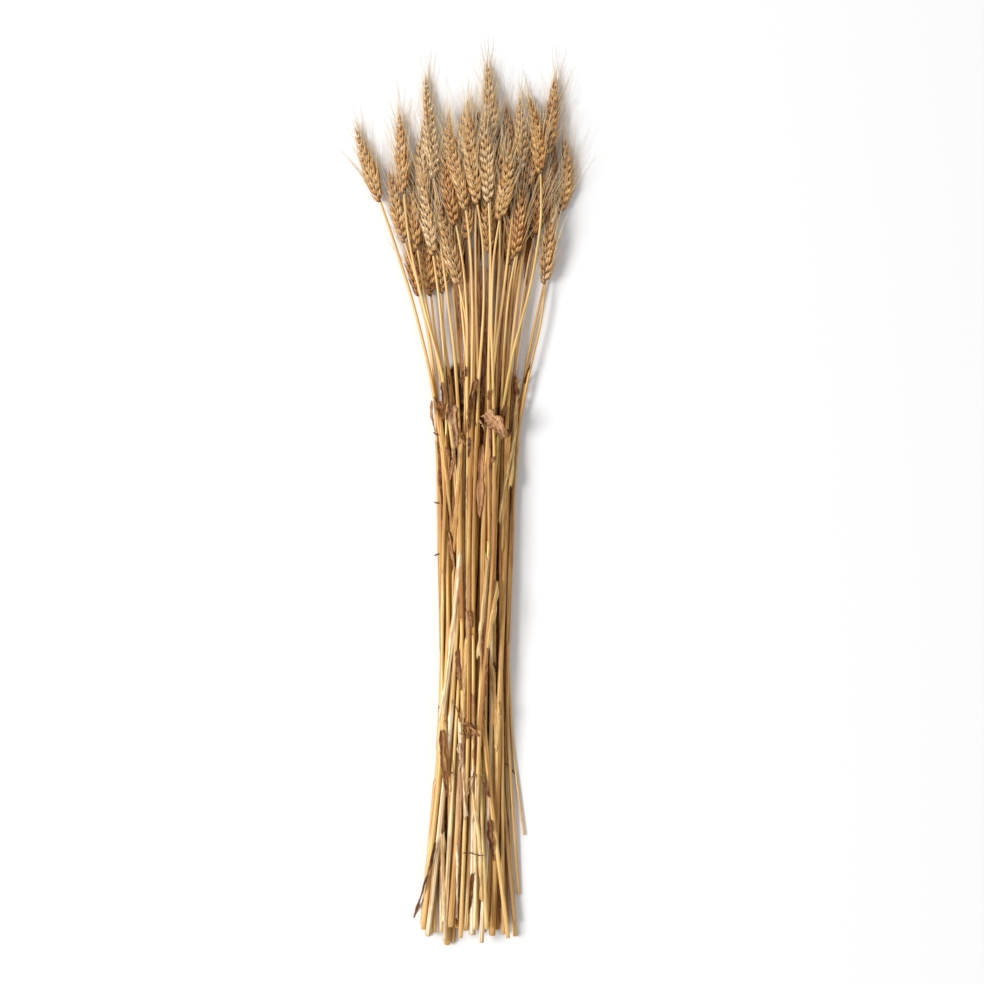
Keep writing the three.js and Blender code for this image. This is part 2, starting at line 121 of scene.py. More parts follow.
def stalk_line(solid):
    """One stalk's line from its cut end, with the straw's radius and the places of its parts along it."""
    rows = slices(solid)
    area = rows[:, 3]
    first = int(np.argmax(area > EAR_SHARE * area.max()))
    neck = first - NECK_SEARCH + int(np.argmin(area[first - NECK_SEARCH : first]))
    tip = int(np.nonzero(area > EAR_TIP_AREA)[0][-1])
    rows = rows[: tip + 1]
    middles = np.stack([smoothed(rows[:, 1], BENDS), rows[:, 0], smoothed(rows[:, 2], BENDS)], axis=1)
    run = np.concatenate([[0], np.cumsum(np.linalg.norm(np.diff(middles, axis=0), axis=1))])
    ahead = unit(np.gradient(middles, run, axis=0))
    radius = np.sqrt(rows[:, 3] * ahead[:, 1] / HEXAGON)
    plain = smoothed(radius[: neck + 1], SWELLINGS)
    swell = radius[ENDS : neck - ENDS] / plain[ENDS : neck - ENDS]
    return {
        "middles": middles,
        "run": run,
        "ahead": ahead,
        "radius": np.concatenate([plain, np.full(tip - neck, plain[-1])]),
        "joint": run[ENDS + int(np.argmax(swell))],
        "neck": run[neck],
        "tip": run[-1] + TIP_REST,
        "turn": 0.5 * math.atan2(rows[first:, 5].sum(), rows[first:, 4].sum()),  # of the ear's broad side
        "height": float(np.interp(0, rows[:, 0], rows[:, 2])),
    }


def on_line(line, run):
    """Place, direction, rightward and upward vectors of a stalk at distances along it."""
    run = np.atleast_1d(run)
    place, ahead = (
        np.stack([np.interp(run, line["run"], line[key][:, k]) for k in range(3)], axis=1)
        for key in ("middles", "ahead")
    )
    ahead = unit(ahead)
    place += ahead * (run - np.clip(run, 0, line["run"][-1]))[:, None]
    right = unit(np.stack([ahead[:, 1], -ahead[:, 0], np.zeros(len(run))], axis=1))
    return place, ahead, right, np.cross(right, ahead)


stalk_names = sorted(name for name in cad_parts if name.startswith("stalk_"))
lines = {name: stalk_line(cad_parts[name]) for name in stalk_names}

# ---- Straw ----
# The culm is a hollow waxy tube of dry straw, cut square at its lower end, with one swollen joint
# where a leaf's sheath grew from it. It thins upwards and runs on through the ear as its stem.
CULM_SIDES = 12
CULM_STATIONS = 96
CUT_WALL = 0.3  # the straw's wall at its cut end against its radius
CUT_DEPTH = 9 * MM  # how deep the cut end is open
CUT_FLOOR = 0.9  # the master's station that holds the floor of that hollow
JOINT_SWELL = 0.22
JOINT_HALF = 1.3 * MM
JOINT_STATIONS = (-2.4, -1.6, -1, -0.5, 0, 0.5, 1, 1.6, 2.4)  # in half joints from its middle
BARE = 0.86  # bare straw against the solid, which is as thick as the sheathed straw
EAR_STEM = 0.5  # the ear's stem at its top against the straw at the neck
STEM_REST = 8 * MM  # from the stem's end to the ear's tip
THIN_FOOT = {"stalk_41": 0.46, "stalk_42": 0.66}  # two short side shoots, thinner at their cut ends
THIN_RUN = 220 * MM  # over which they widen to their own thickness
WIDEST = solids_box[1][0] + 3 * MM  # nothing strays further aside, or out of these two heights
LOWEST = 0.05 * MM
HIGHEST = solids_box[1][2] - 0.2 * MM
STRAW, SHEATH, HUSK, AWN, BLADE = range(5)  # the finishes of a stalk's parts, in their order


def alone():
    """Leaves edit mode and selects nothing."""
    if bpy.context.mode != "OBJECT":
        bpy.ops.object.mode_set(mode="OBJECT")
    bpy.ops.object.select_all(action="DESELECT")


def started(**circle):
    """A circle in the XZ plane, in edit mode and selected all over."""
    alone()
    bpy.ops.mesh.primitive_circle_add(rotation=(math.pi / 2, 0, 0), **circle)
    bpy.ops.object.transform_apply(location=False, rotation=True, scale=False)
    bpy.ops.object.mode_set(mode="EDIT")
    bpy.ops.mesh.select_all(action="SELECT")
    return bpy.context.object


def taken(shape):
    """The vertices and faces of a finished master shape, which itself is put away."""
    alone()
    mesh = shape.data
    places = np.array([v.co for v in mesh.vertices])
    faces = [tuple(face.vertices) for face in mesh.polygons]
    bpy.data.objects.remove(shape)
    return places, faces


culm = started(vertices=CULM_SIDES, radius=1, fill_type="NGON")
for _ in range(CULM_STATIONS):
    bpy.ops.mesh.extrude_region_move(TRANSFORM_OT_translate={"value": (0, 1, 0)})
bpy.ops.mesh.select_all(action="SELECT")
bpy.ops.mesh.normals_make_consistent(inside=False)
bpy.ops.mesh.select_all(action="DESELECT")
bpy.ops.object.mode_set(mode="OBJECT")
for face in culm.data.polygons:
    face.select = all(abs(culm.data.vertices[k].co.y) < 1e-4 for k in face.vertices)
bpy.ops.object.mode_set(mode="EDIT")
bpy.ops.mesh.inset(thickness=CUT_WALL)
bpy.ops.mesh.extrude_region_move(TRANSFORM_OT_translate={"value": (0, CUT_FLOOR, 0)})
culm_places, culm_faces = taken(culm)


class Grown:
    """All parts of one piece, such as what a stalk grew, gathered into one mesh with its finishes.

    Each part comes with its finish, its grain (place across and along its fibres), its tint from
    brown to pale, and its tone, which runs along it or marks a spot on it, and on the husks sets
    their painted shade.
    """

    def __init__(self):
        self.places, self.faces, self.finish, self.grain, self.tint, self.tone = [], [], [], [], [], []
        self.count = 0

    def add(self, places, faces, finish, grain, tint, tone):
        self.faces += [tuple(k + self.count for k in face) for face in faces]
        self.finish += [finish] * len(faces)
        places[:, 0] = places[:, 0].clip(-WIDEST, WIDEST)
        places[:, 2] = places[:, 2].clip(LOWEST, HIGHEST)
        self.places.append(places)
        self.grain.append(grain)
        self.tint.append(np.full(len(places), tint))
        self.tone.append(np.broadcast_to(tone, len(places)))
        self.count += len(places)

    def piece(self, name, slot, replaced=()):
        mesh = bpy.data.meshes.new(name)
        mesh.from_pydata(np.concatenate(self.places).tolist(), [], self.faces)
        for made in finishes:
            mesh.materials.append(made)
        mesh.polygons.foreach_set("material_index", self.finish)
        mesh.polygons.foreach_set("use_smooth", [True] * len(self.faces))
        for key, kind, field, values in (
            ("grain", "FLOAT_VECTOR", "vector", np.concatenate(self.grain).ravel()),
            ("tint", "FLOAT", "value", np.concatenate(self.tint)),
            ("tone", "FLOAT", "value", np.concatenate(self.tone)),
        ):
            mesh.attributes.new(key, kind, "POINT").data.foreach_set(field, values.astype(np.float32))
        piece = bpy.data.objects.new(name, mesh)
        bpy.context.scene.collection.objects.link(piece)
        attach(piece, "root")
        for node in replaced:
            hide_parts(node)


def straw_radius(line, run):
    """The bare straw's radius at distances along a stalk, less at a thin foot and up through the ear."""
    above = np.clip((run - line["neck"]) / (line["tip"] - line["neck"]), 0, 1)
    foot = line["foot"] + (1 - line["foot"]) * np.clip(run / THIN_RUN, 0, 1)
    sheathed = np.interp(run, line["run"], line["radius"])
    return BARE * line["slim"] * foot * sheathed * (1 - (1 - EAR_STEM) * above)


def grow_culm(grown, line, offset, tint):
    """One stalk's straw. Its offset sets all its patterns and tears apart from the other stalks'."""
    joint = line["joint"]
    near = joint + JOINT_HALF * np.array(JOINT_STATIONS)
    even = np.linspace(0, line["tip"] - STEM_REST, CULM_STATIONS + 1 - len(near))
    run = np.sort(np.concatenate([even, near]))
    station = culm_places[:, 1]
    at = np.interp(station, np.arange(CULM_STATIONS + 1), run)
    at[np.isclose(station, CUT_FLOOR, atol=1e-3)] = CUT_DEPTH
    place, _, right, up = on_line(line, at)
    radius = straw_radius(line, at)
    radius *= 1 + JOINT_SWELL * np.exp(-(((at - joint) / JOINT_HALF) ** 2))
    # Dried straw is never quite even.
    radius *= 1 + 0.035 * np.sin(at * 41 + offset * 9) + 0.02 * np.sin(at * 113 + 20 * offset)
    x, z = culm_places[:, 0] * radius * (1 + line["flat"]), culm_places[:, 2] * radius * (1 - line["flat"])
    places = place + right * x[:, None] + up * z[:, None]
    tone = np.exp(-(((at - joint) / (1.2 * JOINT_HALF)) ** 2))
    grown.add(places, culm_faces, STRAW, np.stack([x + offset, at, z], axis=1), tint, tone)


def linear(code):
    """A screen colour such as D8B06A as the renderer's linear colour."""
    values = (int(code[k : k + 2], 16) / 255 for k in (0, 2, 4))
    return (*(v / 12.92 if v < 0.04045 else ((v + 0.055) / 1.055) ** 2.4 for v in values), 1)


def feed(node, inputs):
    """Gives each named input of a node a value or another node's output."""
    for key, value in inputs.items():
        if isinstance(value, bpy.types.NodeSocket):
            node.id_data.links.new(value, node.inputs[key])
        else:
            node.inputs[key].default_value = value


def add_node(tree, kind, inputs, output, stops=(), **settings):
    """Adds a node with its settings, inputs and a ramp's colour stops, and returns the output asked for."""
    made = tree.nodes.new(kind)
    for key, value in settings.items():
        setattr(made, key, value)
    feed(made, inputs)
    if stops:
        band = made.color_ramp.elements
        for _ in stops[2:]:
            band.new(0.5)
        for element, (place, code) in zip(band, stops):
            element.position = place
            element.color = linear(code)
    return made.outputs[output]


def new_finish(name):
    """A material, its node tree, its shader, and the grain, tint and tone that Grown put on the mesh."""
    made = bpy.data.materials.new(name)
    made.use_nodes = True
    tree = made.node_tree
    grain, tint, tone = (
        add_node(tree, "ShaderNodeAttribute", {}, output, attribute_name=key)
        for key, output in (("grain", "Vector"), ("tint", "Fac"), ("tone", "Fac"))
    )
    return made, tree, tree.nodes["Principled BSDF"], grain, tint, tone


def streaks(tree, grain, across, along, detail=3.0):
    """Fibres or stains along the grain, across and along in millimetres: coarser than real, to show."""
    scale = (1000 / across, 1000 / along, 1000 / across)
    drawn = add_node(tree, "ShaderNodeMapping", {"Vector": grain, "Scale": scale}, "Vector")
    return add_node(tree, "ShaderNodeTexNoise", {"Vector": drawn, "Scale": 1.0, "Detail": detail}, "Fac")


FACTOR, UNDER, OVER, MIXED = 0, 6, 7, 2  # the colour sockets of a mix node


def laid_over(tree, colour, code, factor, *stops):
    """A colour under a stain of another, which is as strong as the stops make the factor."""
    strength = add_node(tree, "ShaderNodeValToRGB", {"Fac": factor}, "Color", stops)
    inputs = {FACTOR: strength, UNDER: colour, OVER: linear(code)}
    return add_node(tree, "ShaderNodeMix", inputs, MIXED, data_type="RGBA")


def darkened_by_mask(tree, colour, mask, code, low=0.4, high=0.62):
    """A colour darkened by another where the mask runs low: in the furrows between fibres and veins, and at
    a husk's foot as painted shade.
    """
    inputs = {FACTOR: 1.0, UNDER: colour, OVER: linear(code)}
    darker_colour = add_node(tree, "ShaderNodeMix", inputs, MIXED, data_type="RGBA", blend_type="MULTIPLY")
    stops = ((low, "000000"), (high, "FFFFFF"))
    height = add_node(tree, "ShaderNodeValToRGB", {"Fac": mask}, "Color", stops)
    inputs = {FACTOR: height, UNDER: darker_colour, OVER: colour}
    return add_node(tree, "ShaderNodeMix", inputs, MIXED, data_type="RGBA")


# Dry wheat straw: silica gives its skin a waxy gloss over gold, cream or brown, with fine lines along
# it and water stains.
STRAW_TINTS = (
    (0.0, "8E5A26"), (0.2, "C69042"), (0.42, "E4B85C"), (0.62, "EFCC78"), (0.8, "E0C86A"), (1.0, "F7E6B6"),
)
# How much paler the straw is, by metres from its cut end.
PALER_FOOT = ((0.0, "A0A0A0"), (0.2, "707070"), (0.34, "000000"), (0.45, "A8A8A8"))

straw_finish, tree, shader, grain, tint, tone = new_finish("dry_waxy_straw")
colour = add_node(tree, "ShaderNodeValToRGB", {"Fac": tint}, "Color", STRAW_TINTS)
colour = darkened_by_mask(tree, colour, streaks(tree, grain, 0.7, 30), "D6AE7E", 0.36, 0.6)
stain = streaks(tree, grain, 3.5, 26, 5.0)
colour = laid_over(tree, colour, "8A5426", stain, (0.54, "000000"), (0.7, "A0A0A0"))
from_cut = add_node(tree, "ShaderNodeSeparateXYZ", {"Vector": grain}, "Y")
colour = laid_over(tree, colour, "ECCC98", from_cut, *PALER_FOOT)
colour = laid_over(tree, colour, "80522A", tone, (0.1, "000000"), (0.9, "A0A0A0"))
fibres = {"Height": streaks(tree, grain, 0.45, 40), "Strength": 0.5, "Distance": 0.15 * MM}
relief = add_node(tree, "ShaderNodeBump", fibres, "Normal")
feed(shader, {"Base Color": colour, "Roughness": 0.36, "IOR": 1.48, "Normal": relief})

# ---- Leaf sheaths ----
# The lower part of every leaf wraps the straw as a thin papery sheath, slit down one side. It rises
# from a joint and ends at a torn collar, where the leaf's blade broke off as it dried.
SHEATH_SIDES = 12
SHEATH_STATIONS = 28
SHEATH_GIRTH = 1.13  # against the straw's radius
SHEATH_WALL = 0.1
COLLAR_TEAR = 6 * MM  # how unevenly the collar is torn

draws = random.Random(31)  # seeded, so that each run grows the same bundle

sheath = started(vertices=SHEATH_SIDES, radius=SHEATH_GIRTH)
bpy.ops.mesh.select_all(action="DESELECT")
bpy.ops.object.mode_set(mode="OBJECT")
lowest = min(sheath.data.edges, key=lambda edge: sum(sheath.data.vertices[k].co.z for k in edge.vertices))
lowest.select = True
bpy.ops.object.mode_set(mode="EDIT")
bpy.ops.mesh.select_mode(type="EDGE")
bpy.ops.mesh.delete(type="EDGE_FACE")
bpy.ops.mesh.select_all(action="SELECT")
for _ in range(SHEATH_STATIONS):
    bpy.ops.mesh.extrude_region_move(TRANSFORM_OT_translate={"value": (0, 1, 0)})
bpy.ops.mesh.select_all(action="SELECT")
bpy.ops.mesh.normals_make_consistent(inside=False)
bpy.ops.object.mode_set(mode="OBJECT")
wall = sheath.modifiers.new("wall", "SOLIDIFY")
wall.thickness = SHEATH_WALL
wall.offset = 0
bpy.ops.object.modifier_apply(modifier=wall.name)
sheath_places, sheath_faces = taken(sheath)


def grow_sheath(grown, line, low, high, offset, tint):
    """A sheath round the straw from low to high along it."""
    station = sheath_places[:, 1] / SHEATH_STATIONS
    slit = draws.uniform(-1.4, 1.4)
    angle = np.arctan2(sheath_places[:, 0], sheath_places[:, 2]) + slit
    girth = np.hypot(sheath_places[:, 0], sheath_places[:, 2])
    torn = COLLAR_TEAR * (np.sin(angle + offset * 30) + 0.6 * np.sin(angle * 3 + offset * 9))
    at = low + (high - low) * station + torn * station**10
    place, _, right, up = on_line(line, at)
    loose = 1 + 0.1 * station**4 + 0.035 * np.sin(at * 83 + angle * 2 + offset * 20)
    radius = straw_radius(line, at) * girth * loose
    flat = line["flat"] + draws.uniform(0, 0.1)
    x, z = np.sin(angle) * radius * (1 + flat), np.cos(angle) * radius * (1 - 0.5 * flat)
    places = place + right * x[:, None] + up * z[:, None]
    grown.add(places, sheath_faces, SHEATH, np.stack([x + offset, at, z], axis=1), tint, station)


# Papery sheath: the same fibres without the wax, so matte, cream to pinkish brown, with raised veins.
SHEATH_TINTS = ((0.0, "A2703A"), (0.25, "CFA45C"), (0.5, "E6C27A"), (0.75, "F0DA9E"), (1.0, "FBF2D8"))

sheath_finish, tree, shader, grain, tint, tone = new_finish("papery_leaf_sheath")
colour = add_node(tree, "ShaderNodeValToRGB", {"Fac": tint}, "Color", SHEATH_TINTS)
veins = streaks(tree, grain, 0.8, 60, 2.0)
colour = darkened_by_mask(tree, colour, veins, "CCA478")
stain = streaks(tree, grain, 4, 16, 5.0)
colour = laid_over(tree, colour, "8E5C2C", stain, (0.5, "000000"), (0.68, "B4B4B4"))
raised = {"Height": veins, "Strength": 0.7, "Distance": 0.25 * MM}
relief = add_node(tree, "ShaderNodeBump", raised, "Normal")
feed(shader, {"Base Color": colour, "Roughness": 0.6, "Normal": relief})

# ---- Dead leaf blades ----
# What is left of the leaves: dry ribbons torn off short at their collars or lying along the straw,
# with their edges rolled in, twisted and crumpled as they shrank.
RIBBON_ROWS = 26
RIBBON_CELLS = 4
RIBBON_WALL = 0.05
PAPER = 0.22 * MM
BLADE_STEPS = 24
LYING_STEPS = 40
# How broad a blade is along it, as the terms of a + b * share + c * share**2.
POINTED = (0.6, 1.5, -2.0)
BLUNT = (0.86, 0.5, -0.46)
STRAW_REACH = 2.2 * MM  # how far to its sides a straw hides what is under it
STRAY = 0.8 * MM  # how far a torn blade may stand out past the bundle's sides
STRAYED = 3.5 * MM  # one that would stand further out has broken off
STANDING = 0.6  # the share of the torn blades that stand up, where the rest are folded back

alone()
bpy.ops.mesh.primitive_grid_add(x_subdivisions=RIBBON_CELLS, y_subdivisions=RIBBON_ROWS, size=1)
ribbon = bpy.context.object
bpy.ops.object.mode_set(mode="EDIT")
bpy.ops.mesh.select_all(action="SELECT")
bpy.ops.transform.translate(value=(0, 0.5, 0))
bpy.ops.object.mode_set(mode="OBJECT")
wall = ribbon.modifiers.new("wall", "SOLIDIFY")
wall.thickness = RIBBON_WALL
wall.offset = 0
bpy.ops.object.modifier_apply(modifier=wall.name)
ribbon_places, ribbon_faces = taken(ribbon)


def grow_ribbon(grown, path, hollow, width, roll, twist, crumple, offset, tint, finish=BLADE,
                outline=POINTED):
    """A blade along a path of points: hollow is the side its edges roll towards, roll by how far."""
    across, share, thick = ribbon_places.T
    # Both ends are torn ragged.
    torn = np.array([noise.noise(Vector((a * 9, offset * 30, round(s)))) for a, s in zip(across, share)])
    share = (0.06 + 0.88 * share + 0.1 * torn * np.abs(2 * share - 1) ** 8).clip(0, 1)
    steps = np.linspace(0, 1, len(path))
    centre, ahead, up = (
        np.stack([np.interp(share, steps, values[:, k]) for k in range(3)], axis=1)
        for values in (path, unit(np.gradient(path, axis=0)), np.broadcast_to(hollow, path.shape))
    )
    side = unit(np.cross(ahead, up))
    up = np.cross(side, ahead)
    # The blade is twisted along its length.
    turn = (twist * share)[:, None]
    side, up = side * np.cos(turn) + up * np.sin(turn), up * np.cos(turn) - side * np.sin(turn)
    # Its edges are uneven, roll in, and leave it crumpled.
    ragged, bumps = (
        np.array([noise.noise(Vector((a * reach, s * pace, offset * 40))) for a, s in zip(across, share)])
        for reach, pace in ((2.5, 7), (5, 5 + np.linalg.norm(path[-1] - path[0]) * 160))
    )
    half = width / 2 * (outline[0] + outline[1] * share + outline[2] * share**2) * (1 + 0.7 * ragged)
    bend = 2 * roll * across
    x, z = half / roll * np.sin(bend), half / roll * (1 - np.cos(bend))
    z += crumple * (bumps + 0.3 * np.sin(share * 50 + ragged * 6)) + thick / RIBBON_WALL * PAPER
    grain = np.stack([across * width + offset, share * np.linalg.norm(path[-1] - path[0]), z], axis=1)
    grown.add(centre + side * x[:, None] + up * z[:, None], ribbon_faces, finish, grain, tint, share)


def covered(place, own):
    """Whether another stalk lies a millimetre or more over a place on a stalk."""
    for line in lines.values():
        x, y, z = line["middles"].T
        if line is not own and y[0] < place[1] < y[-1]:
            over = np.interp(place[1], y, z) > place[2] + 1 * MM
            if over and abs(np.interp(place[1], y, x) - place[0]) < STRAW_REACH:
                return True
    return False


def edges(path):
    """The outermost stalks to the left and right of each point of a path."""
    across = [np.interp(path[:, 1], line["middles"][:, 1], line["middles"][:, 0]) for line in lines.values()]
    return np.min(across, axis=0), np.max(across, axis=0)


def beside(path):
    """How far a path strays past the outermost stalks."""
    left, right = edges(path)
    return max((path[:, 0] - right).max(), (left - path[:, 0]).max())


def grow_torn_blade(grown, line, root, length, width, offset, tint):
    """The stump of a blade at its collar, standing off the straw or folded back down it."""
    place, ahead, right, up = (v[0] for v in on_line(line, root))
    side = draws.uniform(-1.0, 1.0)
    out = right * math.sin(side) + up * math.cos(side)
    # Its angles to the straw, in radians, at its root and at its end.
    if draws.random() < STANDING:
        start, end = draws.uniform(0.1, 0.4), draws.uniform(0.2, 1.7)
    else:
        start, end = draws.uniform(1.5, 2.2), draws.uniform(2.7, 3.2)
    sway = draws.uniform(-0.4, 0.4)
    steps = np.linspace(0, 1, BLADE_STEPS)[:, None]
    bend = start + (end - start) * steps**1.6
    way = ahead * np.cos(bend) + out * np.sin(bend) + np.cross(ahead, out) * sway * steps
    path = place + out * straw_radius(line, root) * 1.2 + np.cumsum(way * length / BLADE_STEPS, axis=0)
    if beside(path) > STRAYED:
        return
    left, right = edges(path)
    path[:, 0] = path[:, 0].clip(left - STRAY, right + STRAY)
    hollow = out * np.cos(bend) - ahead * np.sin(bend)
    grow_ribbon(grown, path, hollow, width, draws.uniform(0.5, 1.9), draws.uniform(-2, 2),
                draws.uniform(0.3, 0.8) * MM, offset, tint)


def grow_lying_blade(grown, line, low, high, width, offset, tint):
    """A whole narrow blade that dried against its own straw."""
    run = np.linspace(high, low, LYING_STEPS)
    place, _, right, up = on_line(line, run)
    around = draws.uniform(-2.6, 2.6) + draws.uniform(-1, 1) * np.linspace(0, 1, LYING_STEPS)
    around += 0.3 * np.sin(run * 60 + offset * 30)
    out = right * np.sin(around)[:, None] + up * np.cos(around)[:, None]
    path = place + out * (straw_radius(line, run) * 1.3 + 0.2 * MM)[:, None]
    if beside(path) > -1 * MM:
        return
    grow_ribbon(grown, path, -out, width, draws.uniform(0.7, 1.5), draws.uniform(-0.8, 0.8),
                draws.uniform(0.4, 1.0) * MM, offset, tint)


# Dead leaf: brittle and matte, dark to pinkish brown with paler patches, ribbed by its parallel veins.
LEAF_TINTS = ((0.0, "50290A"), (0.3, "8E5418"), (0.6, "BC8850"), (0.8, "D0A274"), (1.0, "F0DCB8"))

leaf_finish, tree, shader, grain, tint, tone = new_finish("brittle_dead_leaf")
colour = add_node(tree, "ShaderNodeValToRGB", {"Fac": tint}, "Color", LEAF_TINTS)
veins = streaks(tree, grain, 0.7, 40, 2.0)
colour = darkened_by_mask(tree, colour, veins, "A47C5C")
patch = streaks(tree, grain, 6, 4.5, 4.0)
colour = laid_over(tree, colour, "C89E72", patch, (0.5, "000000"), (0.68, "9C9C9C"))
raised = {"Height": veins, "Strength": 0.8, "Distance": 0.3 * MM}
relief = add_node(tree, "ShaderNodeBump", raised, "Normal")
feed(shader, {"Base Color": colour, "Roughness": 0.7, "Normal": relief})

# ---- Ears ----
# Spikelets stand by turns on the two sides of the ear's stem. Each holds plump husked grains, fanned
# across the row, over two shorter outer husks that lean to the ear's middle and close it. Every husk
# ends in a point, and towards the tip they are smaller and stand closer.
HUSK_SIDES = 8
# The rings of a husk from its foot to its point: share of the length, girth, and lift to the keel.
HUSK_RINGS = (
    (0, 0.3, 0), (0.12, 0.76, 0.03), (0.3, 1, 0.08), (0.5, 0.8, 0.1), (0.72, 0.38, 0.06), (1, 0.06, -0.02),
)
HUSK_LENGTH = 11 * MM
HUSK_WIDTH = 3.6 * MM
HUSK_DEPTH = 3.5 * MM
SPIKELET_PITCH = 2.9 * MM
# Length, width and depth of the grains' husks, the two outer ones and the one in the middle.
GRAIN_HUSK, OUTER_HUSK, MIDDLE_HUSK = (0.94, 0.98, 1), (0.76, 0.94, 0.74), (0.9, 0.84, 0.84)
FOOT_SIZE = 0.7  # the lowest spikelet against a full one
TIP_TAPER = 0.48  # by which the top one is smaller
TIP_CLOSE = 0.7  # by which the husks of the top one stand closer
TILT = 0.37  # radians by which a spikelet leans out
GRAIN_SPREAD = (0.12, 0.32)  # and by which its grains lean apart
OUTER_AWNS = 0.4  # the share of the outer husks that bear awns

(_, girth, _), *higher = HUSK_RINGS
husk = started(vertices=HUSK_SIDES, radius=girth / 2, fill_type="NGON")
share, lift = 0, 0
for next_share, next_girth, next_lift in higher:
    move = (0, next_share - share, next_lift - lift)
    bpy.ops.mesh.extrude_region_move(TRANSFORM_OT_translate={"value": move})
    bpy.ops.transform.resize(value=(next_girth / girth,) * 3, center_override=(0, next_share, next_lift))
    share, girth, lift = next_share, next_girth, next_lift
bpy.ops.mesh.select_all(action="SELECT")
bpy.ops.mesh.normals_make_consistent(inside=False)
husk_places, husk_faces = taken(husk)


def grow_husk(grown, root, along, face, size, shape, offset, tint, tone):
    """One husk: along is its direction, face the way its keel looks, shape its length, width and depth."""
    along = unit(along)
    face = unit(face - along * face.dot(along))
    length, width, depth = np.array(shape) * (HUSK_LENGTH, HUSK_WIDTH, HUSK_DEPTH) * size
    x, y, z = husk_places[:, 0] * width, husk_places[:, 1] * length, husk_places[:, 2] * depth
    places = root + np.cross(along, face) * x[:, None] + along * y[:, None] + face * z[:, None]
    grain = np.stack([x + offset, y, z], axis=1)
    # The tone rises from the husk's foot to its point; the chaff's finish darkens the low end as painted
    # shade.
    grown.add(places, husk_faces, HUSK, grain, tint, tone * (0.2 + 0.8 * husk_places[:, 1]))
    return root + along * length * 0.98


def grow_spikelet(grown, root, stem, out, up, ahead, size, climb, offset, shade):
    """One spikelet: two grains' husks, each over an outer one, and a husk in the middle.

    It grows from its root along its stem. Of its other directions, out leads away from the ear, up
    across the spikelet and ahead along the ear. Climb is how far up the ear it stands. Returns the
    points that may bear awns, with their directions and climb, and the middle husk's last.
    """
    close = 1 - TIP_CLOSE * climb**6
    points = []
    for way in (-1, 1):
        spread = draws.uniform(*GRAIN_SPREAD) * way * close
        along = stem * math.cos(spread) + up * math.sin(spread)
        foot = root + (up * way * 0.9 * close + out * 0.3) * MM * size
        point = grow_husk(grown, foot, along, out * 0.45 + up * way * 0.9, size, GRAIN_HUSK, offset,
                          shade + draws.uniform(-0.2, 0.2), 1)
        points.append((point, along, climb))
        along = stem + up * way * 0.16 * close - out * 0.2 * close
        foot = root + (up * way * 1.7 * close - out * 0.4 - ahead * 0.5) * MM * size
        point = grow_husk(grown, foot, along, up * way + out * 0.2, size, OUTER_HUSK, offset,
                          shade + draws.uniform(0, 0.24), 0.9)
        if draws.random() < OUTER_AWNS:
            points.append((point, unit(along), climb))
    foot = root + (ahead * (1.5 + 1.5 * climb**6) + out * 1.1 * close) * MM * size
    point = grow_husk(grown, foot, stem + out * 0.08, out, size, MIDDLE_HUSK, offset,
                      shade + draws.uniform(-0.2, 0.2), 0.9)
    return [*points, (point, stem, climb)]


def grow_ear(grown, line, offset, tint):
    """Returns the points that may bear awns, with their directions and how far up the ear they stand."""
    length = line["tip"] - line["neck"]
    count = round((length - 0.7 * HUSK_LENGTH) / SPIKELET_PITCH)
    tips = []
    for k in range(count + 1):
        climb = k / count
        size = (FOOT_SIZE + (1 - FOOT_SIZE) * min(1, 4.5 * climb)) * (1 - TIP_TAPER * climb**3)
        size *= draws.uniform(0.92, 1.08)
        run = line["neck"] + 1 * MM + climb * (length - 1 * MM - HUSK_LENGTH * size * 0.95)
        place, ahead, right, up = (v[0] for v in on_line(line, run))
        out = right * math.cos(line["turn"]) + up * math.sin(line["turn"])
        up = np.cross(out, ahead)
        last = k == count
        out = out * (1 if k % 2 else -1)
        tilt = 0.0 if last else (TILT + draws.uniform(-0.1, 0.12)) * (1 - 0.7 * climb**4)
        stem = ahead * math.cos(tilt) + out * math.sin(tilt)
        root = place + out * 0.7 * MM * size * (1 - climb**3)
        shade = tint + draws.uniform(-0.14, 0.14)
        *points, middle = grow_spikelet(grown, root, stem, out, up, ahead, size, climb, offset, shade)
        tips += points
        if k % 2:  # the middle husk bears an awn in every other spikelet
            tips.append(middle)
    return tips


# Husks: thin tough dull chaff over the grains, tan to cream. Each husk's foot, tucked in among its
# neighbours, is darkened to deep brown as painted shade, so that it reads paler towards its point.
HUSK_TINTS = ((0.0, "BA7E3E"), (0.4, "E0B068"), (0.7, "F3CD8C"), (1.0, "FDE6BA"))

husk_finish, tree, shader, grain, tint, tone = new_finish("dry_wheat_chaff")
colour = add_node(tree, "ShaderNodeValToRGB", {"Fac": tint}, "Color", HUSK_TINTS)
# Painted shade: each husk's foot, where it tucks under its neighbours, is multiplied towards deep brown.
colour = darkened_by_mask(tree, colour, tone, "562C0C", 0.18, 0.62)
nerves = streaks(tree, grain, 0.6, 7, 2.0)
colour = darkened_by_mask(tree, colour, nerves, "C09A6A")
raised = {"Height": nerves, "Strength": 0.8, "Distance": 0.3 * MM}
relief = add_node(tree, "ShaderNodeBump", raised, "Normal")
feed(shader, {"Base Color": colour, "Roughness": 0.5, "Normal": relief})

# ---- Awns ----
# A long fine bristle grows from the point of a husk, close to the ear's line, and bends a little
# outwards. Many have snapped short in drying, and shorter bristles stand between the long ones.
AWN_LENGTH = 42 * MM
BRISTLE_LENGTH = 15 * MM
AWNLESS = 0.46  # the share of the husks' points that bear no awn
BRISTLELESS = 0.2  # and no short bristle
AWN_LOSS = 0.36  # the top ones are shorter by this share
AWN_ROOT = 0.17 * MM  # both are drawn thicker than they are, to show
AWN_POINT = 0.05 * MM
SNAPPED = 0.2  # the share of the awns that have snapped short

